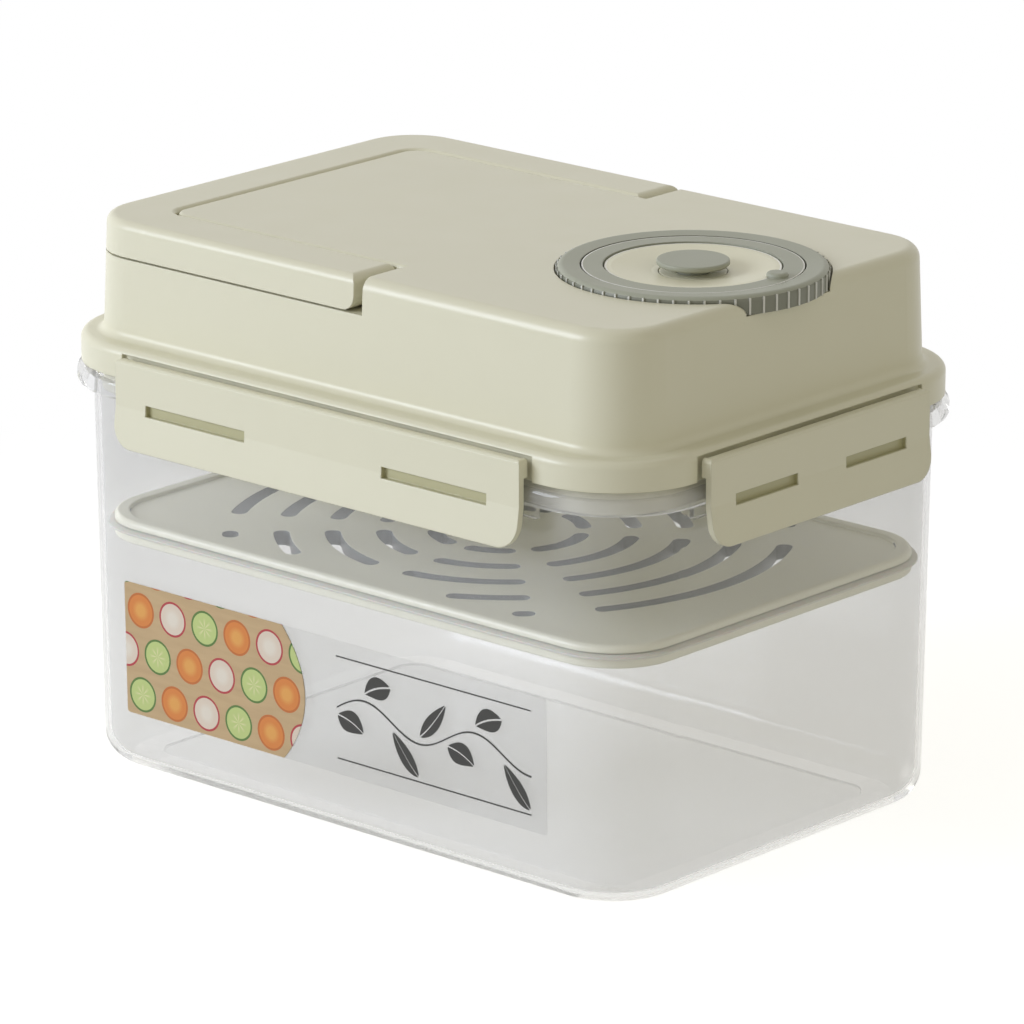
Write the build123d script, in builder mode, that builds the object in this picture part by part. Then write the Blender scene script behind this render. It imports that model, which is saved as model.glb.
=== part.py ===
from build123d import *
import os
from math import acos, asin, atan2, cos, degrees, radians, sin, sqrt, tan

# A fermentation container: a clear tapered box, a press plate that slides in it, and a domed lid
# with four snap latches, a folding carry handle, a date dial and a press-to-vent valve.
# +X runs along the long side to the dial, the labelled front faces -Y, and +Z is up.
# The origin is the middle of the foot. Lengths are in millimetres and angles in degrees.

# Clear box, measured outside at its mouth
box_length = 228.0
box_width = 158.0
box_height = 131.0
box_corner_radius = 27.0
box_wall = 2.0
box_floor = 2.5
box_draft = 0.8
foot_fillet = 9.0
foot_recess_depth = 0.8
foot_recess_inset = 18.0

# Rim that runs round the box below its lip, and the ribs under it that the latches hook on
lip_height = 4.0
rim_reach = 5.0
rim_height = 7.0
rim_fillet = 3.0
rim_lower_fillet_share = 0.9
rim_lip_wall = 2.6
rim_roof = 2.6
lock_rib_drop = 3.2
lock_rib_setback = 1.0
lock_rib_wall = 1.8
lock_rib_end = 3.0

# Label film on the front wall
label_end_gap = 1.5
label_height = 42.0
label_center_x = -1.5
label_bottom = 19.8
label_film = 0.25
label_corner_radius = 1.0
label_gap = 0.05

# Lid skirt, shoulder and dome
lid_overhang = 3.5
lid_seat_gap = 0.3
lid_wall = 2.2
skirt_side_height = 6.7
shoulder_fillet = 2.5
dome_inset = 8.0
dome_height = 35.9
dome_draft = 2.4
dome_corner_radius = 20.0
dome_edge_fillet = 4.0
dome_foot_fillet = 2.5

# Sealing channel on the underside of the lid, with its gasket
tongue_drop = 8.0
tongue_wall = 2.0
lip_inner_clearance = 0.6
lip_outer_clearance = 0.4
gasket_height = 3.1
gasket_lip_gap = 0.3
gasket_side_gap = 0.3

# Carry handle, a U that lies in a notch round the -X end of the dome
notch_depth = 11.2
handle_bend_width = 20.8
handle_arm_width = 20.0
handle_dial_gap = 24.0
panel_corner_radius = 6.0
panel_edge_fillet = 1.2
handle_gap = 0.6
handle_end_gap = 3.5
handle_proud = 0.2
handle_wall = 2.4
handle_edge_fillet = 2.8
handle_inner_fillet = 1.5
handle_end_top_fillet = 3.0
handle_end_bottom_fillet = 4.4
handle_pivot_setback = 4.6
handle_pivot_rise = 4.6
handle_pivot_block = 13.0
handle_rib = 1.6
handle_rib_pitch = 16.0
pivot_pin_radius = 2.0
pivot_pin_head_radius = 3.2
pivot_pin_head = 1.6
pivot_pin_reach = 9.0
pivot_running_gap = 0.05
pivot_press_gap = 0.03
pivot_head_gap = 0.3

# Snap latches: a flap that hangs from a rod on the lid skirt and hooks under a lock rib
latch_stand_off = 4.1
latch_plate = 2.0
latch_height = 26.6
latch_end_setback_long = 36.5
latch_end_setback_short = 32.5
latch_corner_radius = 7.5
latch_top_corner_radius = 1.2
latch_top_chamfer = 0.7
latch_flange = 0.9
latch_flange_reach = 0.6
latch_flare = 1.8
latch_flare_height = 12.5
latch_cheek = 1.6
latch_cheek_gap = 0.5
latch_cheek_lift = 1.4
latch_slot_height = 3.5
latch_slot_floor = 0.5
latch_slot_rise = 11.0
latch_slot_land_long = 55.0
latch_slot_land_short = 22.0
latch_slot_end_long = 12.5
latch_slot_end_short = 11.0
latch_pocket_depth = 1.4
latch_pocket_top_gap = 0.6
latch_pocket_end = 1.2
hinge_axis_out = 1.8
hinge_axis_rise = 4.8
hinge_rod_radius = 1.0
hinge_running_gap = 0.05
hinge_clip_radius = 2.2
hinge_clip_width = 14.0
hinge_clip_mouth = 1.7
hinge_clip_mouth_angle = 250.0
hinge_skin_gap = 0.15
hinge_web_width = 6.0
hinge_web_drop = 4.6
hinge_web_top_drop = 4.0
hinge_web_seat_shares = (0.3, 0.8)
hinge_rod_end_gap = 0.6
clip_shares_long = (-0.74, -0.25, 0.25, 0.74)
clip_shares_short = (-0.5, 0.5)
web_shares_long = (-1.0, -0.52, 0.0, 0.52, 1.0)
web_shares_short = (-1.0, 0.0, 1.0)
hook_release_gap = 0.3
hook_seat_gap = 0.3
hook_tip = 0.8
hook_height = 3.0

# Press plate with its slotted grille and soft lip
plate_top_z = 78.0
plate_thickness = 4.6
plate_gap = 3.0
plate_rim_width = 5.0
plate_rim_rise = 1.0
plate_rim_fillet_share = 0.8
plate_edge_fillet = 1.6
plate_skirt_drop = 5.8
plate_skirt_wall = 4.2
plate_slot_width = 5.0
plate_slot_least = 1.0
plate_ring_first = 22.5
plate_ring_step = 15.5
plate_ring_count = 5
plate_spoke_turn = 37.0
plate_spoke_angle = 12.0
plate_slot_margin = 10.0
seal_groove_depth = 2.2
seal_groove_height = 1.8
seal_groove_drop = 2.2
seal_groove_gap = 0.2
seal_wall_gap = 0.3

# Date dial and vent valve, on one upright axis near the +X end
dial_end_gap = 5.5
dial_radius = 40.0
dial_proud = 1.8
dial_well_depth = 4.4
dial_well_gap = 0.8
dial_seat_gap = 0.3
dial_ring_gap = 0.5
dial_flange = 1.4
dial_flange_gap = 0.3
outer_ring_width = 6.8
outer_ring_flange_reach = 3.0
outer_ring_slope = 0.5
outer_ring_fillet = 1.8
outer_ring_rib_count = 56
outer_ring_rib_width = 0.6
outer_ring_rib_rise = 0.35
inner_ring_width = 6.2
inner_ring_sink = 0.6
inner_ring_flange_reach = 2.2
nub_length = 6.6
nub_width = 6.0
nub_rise = 1.4
nub_fillet_share = 0.7
nub_overhang = 2.0
nub_angle = 12.0
disc_sink = 1.0
disc_border = 2.0
disc_dish = 1.6
disc_dish_flat = 2.0
disc_bowl_gap = 0.3
housing_flange_gap = 0.8
housing_flange = 1.2
housing_radius = 7.0
housing_length = 17.0
housing_wall = 1.6
housing_end_wall = 4.0
housing_fit_gap = 0.1
nut_wall = 4.5
nut_height = 4.0
nut_sides = 6
washer_reach = 3.5
washer_height = 1.4
washer_gap = 0.1
button_radius = 10.8
button_height = 1.7
button_travel = 1.6
button_stop_gap = 0.4
button_fillet_share = 0.3
button_chamfer_share = 0.25
button_boss_gap = 0.4
button_boss_reach = 0.8
stem_radius = 2.2
stem_running_gap = 0.08
stem_barb_reach = 1.2
stem_barb = 1.6
seal_disc_radius = 5.6
seal_disc = 1.8
seal_disc_gap = 0.2
spring_wire_radius = 0.4
spring_turns = 5
spring_points_per_turn = 24
spring_side_gap = 0.6
spring_end_gap = 0.3

# How far a cutting shape runs past the face that it cuts, and the angles of part turns
overrun = 1.0
half_turn = 180.0
quarter_turn = 90.0

# Levels and outlines that follow from the sizes above
rim_top_z = box_height - lip_height
rim_bottom_z = rim_top_z - rim_height
lock_rib_bottom_z = rim_bottom_z - lock_rib_drop
skirt_bottom_z = rim_top_z + lid_seat_gap
shoulder_z = skirt_bottom_z + skirt_side_height + shoulder_fillet
dome_top_z = shoulder_z + dome_height
notch_floor_z = dome_top_z - notch_depth
hinge_axis_z = skirt_bottom_z + hinge_axis_rise
latch_top_z = hinge_axis_z + hinge_clip_radius
latch_bottom_z = latch_top_z - latch_height
handle_bottom_z = notch_floor_z + handle_gap
handle_top_z = dome_top_z + handle_proud
pivot_z = handle_bottom_z + handle_pivot_rise


def grown(outline, amount):
    """Return a rounded outline (length, width, corner radius) moved outwards by amount."""
    length, width, radius = outline
    return length + 2 * amount, width + 2 * amount, radius + amount


def box_outline(height):
    """Return the outer outline of the tapered box at a height above the foot."""
    return grown((box_length, box_width, box_corner_radius), (height - box_height) * tan(radians(box_draft)))


box_mouth = box_outline(box_height)
lid_outline = grown(box_mouth, lid_overhang)
rim_outline = grown(box_outline(rim_bottom_z), rim_reach)
dome_outline = (lid_outline[0] - 2 * dome_inset, lid_outline[1] - 2 * dome_inset, dome_corner_radius)
tongue_outline = grown(box_mouth, -box_wall - lip_inner_clearance)
channel_outline = grown(box_mouth, lip_outer_clearance)
plate_outline = grown(box_outline(plate_top_z), -box_wall - plate_gap)
label_length = box_length - 2 * (box_corner_radius + label_end_gap)

# Places along the lid: the dial from its +X end, the handle's notch from the dial and from the dome's -X end
dial_x = lid_outline[0] / 2 - dial_end_gap - dial_radius
notch_end_x = dial_x - dial_radius - handle_dial_gap
panel_left_x = handle_bend_width - dome_outline[0] / 2
panel_width = dome_outline[1] - 2 * handle_arm_width
arm_end_x = notch_end_x - handle_end_gap
pivot_x = arm_end_x - handle_pivot_setback

# The four sides that carry a latch: direction outwards, reach of the skirt and of the rim, half length of
# the flap, its slots, and the places of its clips and webs as shares of the half length
latch_half_length_long = lid_outline[0] / 2 - latch_end_setback_long
latch_half_length_short = lid_outline[1] / 2 - latch_end_setback_short
latch_slots_long = (latch_slot_land_long / 2, latch_half_length_long - latch_slot_end_long)
latch_slots_short = (latch_slot_land_short / 2, latch_half_length_short - latch_slot_end_short)
long_side = (lid_outline[1] / 2, rim_outline[1] / 2, latch_half_length_long, latch_slots_long,
             clip_shares_long, web_shares_long)
short_side = (lid_outline[0] / 2, rim_outline[0] / 2, latch_half_length_short, latch_slots_short,
              clip_shares_short, web_shares_short)
latch_sides = {
    "front_latch": (-quarter_turn, *long_side),
    "right_latch": (0, *short_side),
    "back_latch": (quarter_turn, *long_side),
    "left_latch": (half_turn, *short_side),
}


def section_plane(turn):
    """Return an upright plane through the Z axis whose x points outwards at the angle turn."""
    outwards = (cos(radians(turn)), sin(radians(turn)), 0)
    return Plane(origin=(0, 0, 0), x_dir=outwards, z_dir=(outwards[1], -outwards[0], 0))


def face_plane(turn, distance, height):
    """Return an upright plane that faces outwards at the angle turn, with its y up."""
    outwards = (cos(radians(turn)), sin(radians(turn)), 0)
    origin = (outwards[0] * distance, outwards[1] * distance, height)
    return Plane(origin=origin, x_dir=(-outwards[1], outwards[0], 0), z_dir=outwards)


def span(low_x, low_y, high_x, high_y, mode=Mode.ADD):
    """Add a rectangle between two corners to the sketch at hand."""
    with Locations(((low_x + high_x) / 2, (low_y + high_y) / 2)):
        Rectangle(high_x - low_x, high_y - low_y, mode=mode)


def save(builder, name):
    """Label a finished piece and write it to the parts folder."""
    builder.part.label = name
    export_step(builder.part, f"parts/{name}.step")


os.makedirs("parts", exist_ok=True)

# Inside of the box, with the rounding of the floor
with BuildPart() as box_cavity:
    with BuildSketch(Plane.XY.offset(box_floor)):
        RectangleRounded(*grown(box_outline(box_floor), -box_wall))
    extrude(amount=box_height - box_floor + overrun, taper=-box_draft)
    fillet(box_cavity.faces().sort_by(Axis.Z)[0].edges(), radius=foot_fillet - box_wall)

# Rim: a flange with a lip turned down round a channel that is open below
with BuildPart() as rim:
    with BuildSketch(Plane.XY.offset(rim_bottom_z)):
        RectangleRounded(*rim_outline)
    extrude(amount=rim_height)
    fillet(rim.faces().sort_by(Axis.Z)[-1].edges(), radius=rim_fillet)
    fillet(rim.faces().sort_by(Axis.Z)[0].edges(), radius=rim_lower_fillet_share * rim_lip_wall)
    with BuildSketch(Plane.XY.offset(rim_bottom_z)):
        RectangleRounded(*grown(rim_outline, -rim_lip_wall))
    extrude(amount=rim_height - rim_roof, mode=Mode.SUBTRACT)

with BuildPart() as container_body:
    with BuildSketch(Plane.XY):
        RectangleRounded(*box_outline(0))
    extrude(amount=box_height, taper=-box_draft)
    fillet(container_body.faces().sort_by(Axis.Z)[0].edges(), radius=foot_fillet)
    add(rim.part)
    for turn, skirt_reach, rim_half, half_length, slots, clips, webs in latch_sides.values():
        rib_face = rim_half - lock_rib_setback
        with BuildSketch(section_plane(turn)):
            span(rib_face - lock_rib_wall, lock_rib_bottom_z, rib_face, rim_bottom_z + rim_lip_wall)
        extrude(amount=half_length + lock_rib_end, both=True)
    add(box_cavity.part, mode=Mode.SUBTRACT)
    with BuildSketch(Plane.XY):
        RectangleRounded(*grown(box_outline(0), -foot_recess_inset))
    extrude(amount=foot_recess_depth, mode=Mode.SUBTRACT)
save(container_body, "container_body")

# Label film, parallel to the drafted front wall
label_middle_z = label_bottom + label_height / 2
label_y = -box_outline(label_middle_z)[1] / 2 - label_gap
with BuildPart() as front_label:
    with BuildSketch(Plane(
        origin=(label_center_x, label_y, label_middle_z),
        x_dir=(1, 0, 0),
        z_dir=(0, -cos(radians(box_draft)), -sin(radians(box_draft))),
    )):
        RectangleRounded(label_length, label_height, label_corner_radius)
    extrude(amount=label_film)
save(front_label, "front_label")


def dome_block(top_z, edge_radius):
    """Return the drafted dome from the shoulder up to top_z, with its top edge rounded."""
    with BuildPart() as block:
        with BuildSketch(Plane.XY.offset(shoulder_z)):
            RectangleRounded(*dome_outline)
        extrude(amount=top_z - shoulder_z, taper=dome_draft)
        fillet(block.faces().sort_by(Axis.Z)[-1].edges(), radius=edge_radius)
    return block.part


def handle_zone(floor_z, end_x, panel_growth):
    """Return the U-shaped space round the raised panel, from floor_z up and back to end_x."""
    with BuildPart() as zone:
        with BuildSketch(Plane.XY.offset(floor_z)):
            span(-lid_outline[0] / 2, -lid_outline[1] / 2, end_x, lid_outline[1] / 2)
            half_width = panel_width / 2 + panel_growth
            left_x = panel_left_x - panel_growth
            with BuildSketch(mode=Mode.SUBTRACT):
                span(left_x, -half_width, lid_outline[0] / 2, half_width)
                fillet(vertices().group_by(Axis.X)[0], radius=panel_corner_radius + panel_growth)
        extrude(amount=handle_top_z + overrun - floor_z)
    return zone.part


# Hollow of the lid: the inside of the dome, kept off the handle notch and the dial well
dial_well_floor_z = dome_top_z - dial_well_depth
dial_well_radius = dial_radius + dial_well_gap
dome_notch = handle_zone(notch_floor_z, notch_end_x, 0)
walled_notch = handle_zone(notch_floor_z - lid_wall, notch_end_x + lid_wall, -lid_wall)
handle_space = handle_zone(handle_bottom_z, arm_end_x, handle_gap)
lid_dome = dome_block(dome_top_z, dome_edge_fillet)
handle_dome = dome_block(handle_top_z, handle_edge_fillet)
with BuildPart() as lid_hollow:
    with BuildSketch(Plane.XY.offset(shoulder_z)):
        RectangleRounded(*grown(dome_outline, -lid_wall))
    extrude(amount=dome_height - lid_wall, taper=dome_draft)
    fillet(lid_hollow.faces().sort_by(Axis.Z)[-1].edges(), radius=dome_edge_fillet - lid_wall)
    add(walled_notch, mode=Mode.SUBTRACT)
    with BuildSketch(Plane.XY.offset(dial_well_floor_z - lid_wall)):
        with Locations((dial_x, 0)):
            Circle(dial_well_radius + lid_wall)
    extrude(amount=dial_well_depth, mode=Mode.SUBTRACT)
    with BuildSketch(Plane.XY.offset(shoulder_z)):
        RectangleRounded(*grown(dome_outline, -lid_wall))
    extrude(amount=-lid_wall - overrun)
    with BuildSketch(Plane.XY.offset(shoulder_z - lid_wall)):
        RectangleRounded(*grown(tongue_outline, -tongue_wall))
    extrude(amount=skirt_bottom_z - tongue_drop - overrun - shoulder_z + lid_wall)

with BuildPart() as lid_shell:
    with BuildSketch(Plane.XY.offset(skirt_bottom_z)):
        RectangleRounded(*lid_outline)
    extrude(amount=shoulder_z - skirt_bottom_z)
    fillet(lid_shell.faces().sort_by(Axis.Z)[-1].edges(), radius=shoulder_fillet)
    add(lid_dome)
    shoulder_face = lid_shell.faces().filter_by(Plane.XY).sort_by(Axis.Z)[1]
    fillet(shoulder_face.inner_wires()[0].edges(), radius=dome_foot_fillet)
    with BuildSketch(Plane.XY.offset(skirt_bottom_z)):
        RectangleRounded(*tongue_outline)
    extrude(amount=-tongue_drop)
    # Channel that the lip of the box rises into
    channel_roof_z = box_height + gasket_lip_gap + gasket_height
    with BuildSketch(Plane.XY.offset(skirt_bottom_z)):
        RectangleRounded(*channel_outline)
        RectangleRounded(*tongue_outline, mode=Mode.SUBTRACT)
    extrude(amount=channel_roof_z - skirt_bottom_z, mode=Mode.SUBTRACT)
    add(dome_notch, mode=Mode.SUBTRACT)
    panel_edges = [
        edge for edge in lid_shell.faces().sort_by(Axis.Z)[-1].edges()
        if abs(edge.center().Y) < panel_width / 2 + handle_gap and edge.center().X < notch_end_x - handle_gap
    ]
    fillet(panel_edges, radius=panel_edge_fillet)
    with BuildSketch(Plane.XY.offset(dial_well_floor_z)):
        with Locations((dial_x, 0)):
            Circle(dial_well_radius)
    extrude(amount=dial_well_depth + overrun, mode=Mode.SUBTRACT)
    add(lid_hollow.part, mode=Mode.SUBTRACT)
    # Hole for the valve housing, and bores for the handle pins
    with Locations((dial_x, 0, dial_well_floor_z)):
        Hole(radius=housing_radius + housing_fit_gap, depth=lid_wall + overrun)
    with BuildSketch(Plane.XZ):
        with Locations((pivot_x, pivot_z)):
            Circle(pivot_pin_radius + pivot_running_gap)
    extrude(amount=panel_width / 2 + overrun, both=True, mode=Mode.SUBTRACT)
    # Shallow pocket behind each latch, with the rod that the latch clips on and the webs that carry it
    for turn, skirt_reach, rim_half, half_length, slots, clips, webs in latch_sides.values():
        side = section_plane(turn)
        pocket_face = skirt_reach - latch_pocket_depth
        axis_out = skirt_reach + hinge_axis_out
        rod_half = half_length - latch_cheek - hinge_rod_end_gap
        with BuildSketch(side):
            span(pocket_face, skirt_bottom_z - overrun,
                 skirt_reach + overrun, latch_top_z + latch_pocket_top_gap)
        extrude(amount=half_length + latch_pocket_end, both=True, mode=Mode.SUBTRACT)
        with BuildSketch(side):
            with Locations((axis_out, hinge_axis_z)):
                Circle(hinge_rod_radius)
        extrude(amount=rod_half, both=True)
        web_reach = rod_half - hinge_web_width / 2
        web_seat = [share * hinge_rod_radius for share in hinge_web_seat_shares]
        with BuildSketch(*[side.offset(share * web_reach) for share in webs]):
            with BuildLine():
                Polyline(
                    (axis_out - web_seat[0], hinge_axis_z - web_seat[1]),
                    (pocket_face - overrun, hinge_axis_z - hinge_web_top_drop),
                    (pocket_face - overrun, hinge_axis_z - hinge_web_drop),
                    (axis_out, hinge_axis_z - hinge_rod_radius),
                    close=True,
                )
            make_face()
        extrude(amount=hinge_web_width / 2, both=True)
save(lid_shell, "lid_shell")

# Gasket that lies against the roof of the sealing channel
with BuildPart() as lid_gasket:
    with BuildSketch(Plane.XY.offset(channel_roof_z - gasket_height)):
        RectangleRounded(*grown(channel_outline, -gasket_side_gap))
        RectangleRounded(*grown(tongue_outline, gasket_side_gap), mode=Mode.SUBTRACT)
    extrude(amount=gasket_height)
save(lid_gasket, "lid_gasket")

# Carry handle: the top of the dome's outline, cut to the U, hollow below with cross ribs
with BuildPart() as carry_handle:
    add(handle_dome)
    add(handle_space, mode=Mode.INTERSECT)
    inner_half = panel_width / 2 + handle_gap
    inner_left_x = panel_left_x - handle_gap
    inner_radius = panel_corner_radius + handle_gap
    top_edges = carry_handle.faces().sort_by(Axis.Z)[-1].edges()
    inner_edges = [
        edge for edge in top_edges
        if abs(edge.center().Y) < inner_half + handle_gap and edge.center().X > inner_left_x - handle_gap
        and edge.center().X < arm_end_x - handle_gap
    ]
    fillet(inner_edges, radius=handle_inner_fillet)
    with BuildSketch(Plane.XZ):
        span(-lid_outline[0] / 2, handle_bottom_z, arm_end_x, handle_top_z)
        arm_end_corners = vertices().group_by(Axis.X)[-1].sort_by(Axis.Y)
        fillet(arm_end_corners[0], radius=handle_end_bottom_fillet)
        fillet(vertices().group_by(Axis.X)[-1].sort_by(Axis.Y)[-1], radius=handle_end_top_fillet)
    extrude(amount=lid_outline[1] / 2, both=True, mode=Mode.INTERSECT)
    top_inset = (handle_top_z - shoulder_z) * tan(radians(dome_draft))
    with BuildSketch(Plane.XY.offset(handle_bottom_z)):
        RectangleRounded(*grown(dome_outline, -handle_wall - top_inset))
        span(arm_end_x - handle_pivot_block, -lid_outline[1] / 2, lid_outline[0] / 2, lid_outline[1] / 2,
             mode=Mode.SUBTRACT)
        with BuildSketch(mode=Mode.SUBTRACT):
            wall_half = inner_half + handle_wall
            wall_left_x = inner_left_x - handle_wall
            span(wall_left_x, -wall_half, lid_outline[0] / 2, wall_half)
            fillet(vertices().group_by(Axis.X)[0], radius=inner_radius + handle_wall)
        arm_ribs = int((arm_end_x - handle_pivot_block - panel_left_x) / handle_rib_pitch)
        arm_rib_x = arm_end_x - handle_pivot_block - handle_rib_pitch * (arm_ribs + 1) / 2
        with Locations((arm_rib_x, 0)):
            with GridLocations(handle_rib_pitch, 0, arm_ribs, 1):
                Rectangle(handle_rib, lid_outline[1], mode=Mode.SUBTRACT)
        bend_ribs = int(panel_width / handle_rib_pitch) - 1
        with Locations((panel_left_x, 0)):
            with GridLocations(0, handle_rib_pitch, 1, bend_ribs):
                Rectangle(panel_left_x + lid_outline[0], handle_rib, mode=Mode.SUBTRACT)
    extrude(amount=handle_top_z - handle_bottom_z - handle_wall - handle_edge_fillet / 2, mode=Mode.SUBTRACT)
    with BuildSketch(Plane.XZ):
        with Locations((pivot_x, pivot_z)):
            Circle(pivot_pin_radius + pivot_press_gap)
    extrude(amount=inner_half + pivot_pin_reach + pivot_head_gap, both=True, mode=Mode.SUBTRACT)
save(carry_handle, "carry_handle")

# Headed pins, put in from inside the dome, that the handle turns on
pin_head_y = panel_width / 2 - lid_wall - pivot_head_gap
for name, facing in {"handle_pin_front": -1, "handle_pin_back": 1}.items():
    with BuildPart() as handle_pin:
        with BuildSketch(Plane(origin=(pivot_x, facing * pin_head_y, pivot_z), z_dir=(0, facing, 0))):
            Circle(pivot_pin_radius)
        extrude(amount=inner_half + pivot_pin_reach - pin_head_y)
        with BuildSketch(Plane(origin=(pivot_x, facing * pin_head_y, pivot_z), z_dir=(0, -facing, 0))):
            Circle(pivot_pin_head_radius)
        extrude(amount=pivot_pin_head)
    save(handle_pin, name)

# Snap latches
for name, (turn, skirt_reach, rim_half, half_length, slots, clips, webs) in latch_sides.items():
    side = section_plane(turn)
    outer = skirt_reach + latch_stand_off
    inner = outer - latch_plate
    axis_out = skirt_reach + hinge_axis_out
    skin_inner = axis_out + hinge_rod_radius + hinge_skin_gap
    flare_z = latch_bottom_z + latch_flare_height
    hook_top_z = lock_rib_bottom_z - hook_seat_gap
    hook_face = rim_half - lock_rib_setback + hook_release_gap
    with BuildPart() as latch:
        with BuildSketch(side):
            with BuildLine():
                Polyline(
                    (outer - latch_top_chamfer, latch_top_z),
                    (outer, latch_top_z - latch_top_chamfer),
                    (outer, flare_z),
                    (outer + latch_flare, latch_bottom_z),
                    (inner + latch_flare, latch_bottom_z),
                    (inner, flare_z),
                    (inner, hinge_axis_z - hinge_clip_radius),
                    (skin_inner, hinge_axis_z - hinge_clip_radius),
                    (skin_inner, latch_top_z),
                    close=True,
                )
            make_face()
        extrude(amount=half_length, both=True)
        # Flange that closes the top over the rod
        with BuildSketch(side):
            span(axis_out - latch_flange_reach, latch_top_z - latch_flange,
                 outer - latch_top_chamfer, latch_top_z)
        extrude(amount=half_length, both=True)
        # Cheeks that close the two ends beside the skirt
        with BuildSketch(*[side.offset(end * (half_length - latch_cheek / 2)) for end in (-1, 1)]):
            span(skirt_reach + latch_cheek_gap, skirt_bottom_z + latch_cheek_lift,
                 outer - latch_top_chamfer, latch_top_z)
        extrude(amount=latch_cheek / 2, both=True)
        # Clips that snap on the rod of the lid
        with BuildSketch(*[side.offset(share * half_length) for share in clips]):
            with Locations((axis_out, hinge_axis_z)):
                Circle(hinge_clip_radius)
            span(axis_out, hinge_axis_z - hinge_clip_radius, outer - latch_top_chamfer, latch_top_z)
            with Locations((axis_out, hinge_axis_z)):
                Circle(hinge_rod_radius + hinge_running_gap, mode=Mode.SUBTRACT)
                with Locations(Rotation(0, 0, hinge_clip_mouth_angle)):
                    with Locations((hinge_clip_radius, 0)):
                        Rectangle(2 * hinge_clip_radius, hinge_clip_mouth, mode=Mode.SUBTRACT)
        extrude(amount=hinge_clip_width / 2, both=True)
        # Hooks below the two slots
        slot_middle = (slots[0] + slots[1]) / 2
        slot_length = slots[1] - slots[0]
        with BuildSketch(side.offset(-slot_middle), side.offset(slot_middle)):
            with BuildLine():
                Polyline(
                    (hook_face, hook_top_z),
                    (hook_face, hook_top_z - hook_tip),
                    (outer, hook_top_z - hook_height),
                    (outer, hook_top_z),
                    close=True,
                )
            make_face()
        extrude(amount=slot_length / 2, both=True)
        # Outline with its rounded lower corners, and the two blind slots
        with BuildSketch(face_plane(turn, skirt_reach, (latch_top_z + latch_bottom_z) / 2)):
            Rectangle(2 * half_length, latch_height)
            fillet(vertices().group_by(Axis.Y)[0], radius=latch_corner_radius)
            fillet(vertices().group_by(Axis.Y)[-1], radius=latch_top_corner_radius)
        extrude(amount=lid_outline[0], both=True, mode=Mode.INTERSECT)
        slot_z = latch_bottom_z + latch_slot_rise + latch_slot_height / 2
        with BuildSketch(face_plane(turn, inner + latch_slot_floor, slot_z)):
            with GridLocations(2 * slot_middle, 0, 2, 1):
                Rectangle(slot_length, latch_slot_height)
        extrude(amount=latch_plate + latch_flare, mode=Mode.SUBTRACT)
    save(latch, name)

# Rings of arc slots in the press plate, broken by a spoke across it and by spokes near its corners
slot_limit_x = plate_outline[0] / 2 - plate_slot_margin - plate_slot_width / 2
slot_limit_y = plate_outline[1] / 2 - plate_slot_margin - plate_slot_width / 2


def ring_slots(radius):
    """Return the (start, size) angles of the slots on a ring, clear of the spokes and of the plate's rim."""
    clear = plate_spoke_angle / 2 + degrees(plate_slot_width / 2 / radius)
    leaves_x = degrees(acos(min(1, slot_limit_x / radius)))
    leaves_y = degrees(asin(min(1, slot_limit_y / radius)))
    end_high = min(plate_spoke_turn - clear, leaves_y)
    side_low = max(plate_spoke_turn + clear, leaves_x)
    side_high = min(quarter_turn - clear, leaves_y)
    runs = [(-end_high, end_high)] if leaves_x == 0 else [(leaves_x, end_high), (-end_high, -leaves_x)]
    runs += [(side_low, side_high), (half_turn - side_high, half_turn - side_low)]
    least = degrees(plate_slot_least / radius)
    return [(low + turn, high - low) for low, high in runs if high - low > least for turn in (0, half_turn)]


# Press plate: a shallow tray with a raised rim, a slotted floor and a groove for the soft lip
plate_bottom_z = plate_top_z - plate_skirt_drop
plate_rim_z = plate_top_z + plate_rim_rise
groove_top_z = plate_top_z - seal_groove_drop + seal_groove_height / 2
groove_bottom_z = groove_top_z - seal_groove_height
with BuildPart() as press_plate:
    with BuildSketch(Plane.XY.offset(plate_bottom_z)):
        RectangleRounded(*plate_outline)
    extrude(amount=plate_rim_z - plate_bottom_z)
    with BuildSketch(Plane.XY.offset(plate_top_z)):
        RectangleRounded(*grown(plate_outline, -plate_rim_width))
    extrude(amount=plate_rim_rise, mode=Mode.SUBTRACT)
    rim_face = press_plate.faces().sort_by(Axis.Z)[-1]
    fillet(rim_face.inner_wires()[0].edges(), radius=plate_rim_fillet_share * plate_rim_rise)
    rim_face = press_plate.faces().sort_by(Axis.Z)[-1]
    fillet(rim_face.outer_wire().edges(), radius=plate_edge_fillet)
    with BuildSketch(Plane.XY.offset(plate_bottom_z)):
        RectangleRounded(*grown(plate_outline, -plate_skirt_wall))
    extrude(amount=plate_skirt_drop - plate_thickness, mode=Mode.SUBTRACT)
    with BuildSketch(Plane.XY.offset(groove_bottom_z)):
        RectangleRounded(*grown(plate_outline, overrun))
        RectangleRounded(*grown(plate_outline, -seal_groove_depth), mode=Mode.SUBTRACT)
    extrude(amount=seal_groove_height, mode=Mode.SUBTRACT)
    with BuildSketch(Plane.XY.offset(plate_top_z)):
        for ring in range(plate_ring_count):
            ring_radius = plate_ring_first + ring * plate_ring_step
            for start, size in ring_slots(ring_radius):
                center_line = CenterArc((0, 0), ring_radius, start, size, mode=Mode.PRIVATE)
                SlotArc(center_line, plate_slot_width)
    extrude(amount=-plate_thickness, mode=Mode.SUBTRACT)
save(press_plate, "press_plate")

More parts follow.
